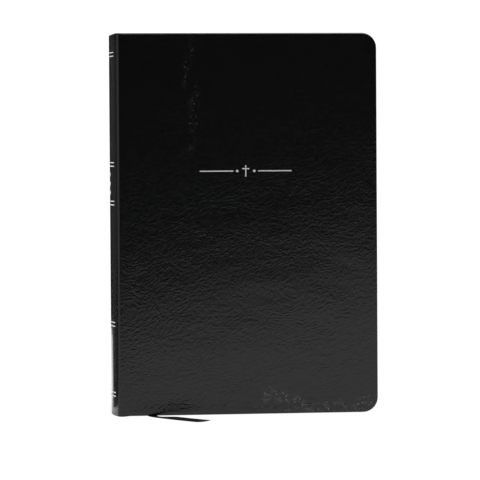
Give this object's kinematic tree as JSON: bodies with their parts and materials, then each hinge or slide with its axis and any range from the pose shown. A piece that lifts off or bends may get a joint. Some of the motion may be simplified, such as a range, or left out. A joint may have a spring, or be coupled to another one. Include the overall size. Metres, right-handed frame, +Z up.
{
  "type": "bible",
  "caption": "Standing soft-cover bible with round corners, a hinged front and back cover, leaves that fan out, end bands and a ribbon marker.",
  "frame": {"origin": "middle of the closed book's footprint, on the surface that it stands on, without the ribbon's free end", "axes": "+Z up along the spine; the front cover faces -Y; the spine is at -X and the fore-edge at +X"},
  "size_m": [0.1701, 0.0891, 0.244],
  "materials": {
    "cover_leather": "fine-grained black leather, soft sheen",
    "card": "plain grey board",
    "page_paper": "thin uncoated bible paper",
    "endpaper": "plain uncoated endpaper",
    "silver_foil": "hot-pressed silver foil",
    "binding_cloth": "open-weave cotton",
    "end_band_cloth": "woven band, black and silver-grey",
    "thread": "linen thread",
    "ribbon_satin": "black double-face satin"
  },
  "bodies": {
    "book_spine": {"spine_leather": "cover_leather", "spine_inlay": "card", "spine_foil_bands": "silver_foil", "spine_foil_diamonds": "silver_foil", "spine_lining": "page_paper", "mull_cloth": "binding_cloth", "sewing_threads": "thread", "headband": "end_band_cloth", "tailband": "end_band_cloth", "ribbon_marker": "ribbon_satin", "ribbon_end": "ribbon_satin", "middle_leaves": "page_paper"},
    "front_cover": {"front_cover_leather": "cover_leather", "front_cover_board": "card", "front_pastedown": "endpaper", "front_foil_ornament": "silver_foil"},
    "front_flyleaf": {"front_flyleaf": "endpaper"},
    "front_leaves_1": {"front_leaves_1": "page_paper"},
    "front_leaves_2": {"front_leaves_2": "page_paper"},
    "front_leaves_3": {"front_leaves_3": "page_paper"},
    "front_leaves_4": {"front_leaves_4": "page_paper"},
    "back_cover": {"back_cover_leather": "cover_leather", "back_cover_board": "card", "back_pastedown": "endpaper"},
    "back_flyleaf": {"back_flyleaf": "endpaper"},
    "back_leaves_1": {"back_leaves_1": "page_paper"},
    "back_leaves_2": {"back_leaves_2": "page_paper"},
    "back_leaves_3": {"back_leaves_3": "page_paper"},
    "back_leaves_4": {"back_leaves_4": "page_paper"}
  },
  "joints": [
    {"name": "front_cover_hinge", "type": "hinge", "parent": "book_spine", "child": "front_cover", "pos_m": [-0.077, -0.02015, 0.122], "axis": [0, 0, -1], "range_deg": [0, 175]},
    {"name": "front_flyleaf_turn", "type": "hinge", "parent": "book_spine", "child": "front_flyleaf", "pos_m": [-0.077, -0.02015, 0.122], "axis": [0, 0, -1], "range_deg": [0, 169.75]},
    {"name": "front_leaves_1_turn", "type": "hinge", "parent": "book_spine", "child": "front_leaves_1", "pos_m": [-0.077, -0.02015, 0.122], "axis": [0, 0, -1], "range_deg": [0, 105]},
    {"name": "front_leaves_2_turn", "type": "hinge", "parent": "book_spine", "child": "front_leaves_2", "pos_m": [-0.077, -0.02015, 0.122], "axis": [0, 0, -1], "range_deg": [0, 73.5]},
    {"name": "front_leaves_3_turn", "type": "hinge", "parent": "book_spine", "child": "front_leaves_3", "pos_m": [-0.077, -0.02015, 0.122], "axis": [0, 0, -1], "range_deg": [0, 43.75]},
    {"name": "front_leaves_4_turn", "type": "hinge", "parent": "book_spine", "child": "front_leaves_4", "pos_m": [-0.077, -0.02015, 0.122], "axis": [0, 0, -1], "range_deg": [0, 19.25]},
    {"name": "back_cover_hinge", "type": "hinge", "parent": "book_spine", "child": "back_cover", "pos_m": [-0.077, 0.02015, 0.122], "axis": [0, 0, 1], "range_deg": [0, 175]},
    {"name": "back_flyleaf_turn", "type": "hinge", "parent": "book_spine", "child": "back_flyleaf", "pos_m": [-0.077, 0.02015, 0.122], "axis": [0, 0, 1], "range_deg": [0, 169.75]},
    {"name": "back_leaves_1_turn", "type": "hinge", "parent": "book_spine", "child": "back_leaves_1", "pos_m": [-0.077, 0.02015, 0.122], "axis": [0, 0, 1], "range_deg": [0, 105]},
    {"name": "back_leaves_2_turn", "type": "hinge", "parent": "book_spine", "child": "back_leaves_2", "pos_m": [-0.077, 0.02015, 0.122], "axis": [0, 0, 1], "range_deg": [0, 73.5]},
    {"name": "back_leaves_3_turn", "type": "hinge", "parent": "book_spine", "child": "back_leaves_3", "pos_m": [-0.077, 0.02015, 0.122], "axis": [0, 0, 1], "range_deg": [0, 43.75]},
    {"name": "back_leaves_4_turn", "type": "hinge", "parent": "book_spine", "child": "back_leaves_4", "pos_m": [-0.077, 0.02015, 0.122], "axis": [0, 0, 1], "range_deg": [0, 19.25]}
  ],
  "couplings": [
    {"joint": "front_flyleaf_turn", "follows": "front_cover_hinge", "ratio": 0.97},
    {"joint": "front_leaves_1_turn", "follows": "front_cover_hinge", "ratio": 0.6},
    {"joint": "front_leaves_2_turn", "follows": "front_cover_hinge", "ratio": 0.42},
    {"joint": "front_leaves_3_turn", "follows": "front_cover_hinge", "ratio": 0.25},
    {"joint": "front_leaves_4_turn", "follows": "front_cover_hinge", "ratio": 0.11},
    {"joint": "back_flyleaf_turn", "follows": "back_cover_hinge", "ratio": 0.97},
    {"joint": "back_leaves_1_turn", "follows": "back_cover_hinge", "ratio": 0.6},
    {"joint": "back_leaves_2_turn", "follows": "back_cover_hinge", "ratio": 0.42},
    {"joint": "back_leaves_3_turn", "follows": "back_cover_hinge", "ratio": 0.25},
    {"joint": "back_leaves_4_turn", "follows": "back_cover_hinge", "ratio": 0.11}
  ]
}
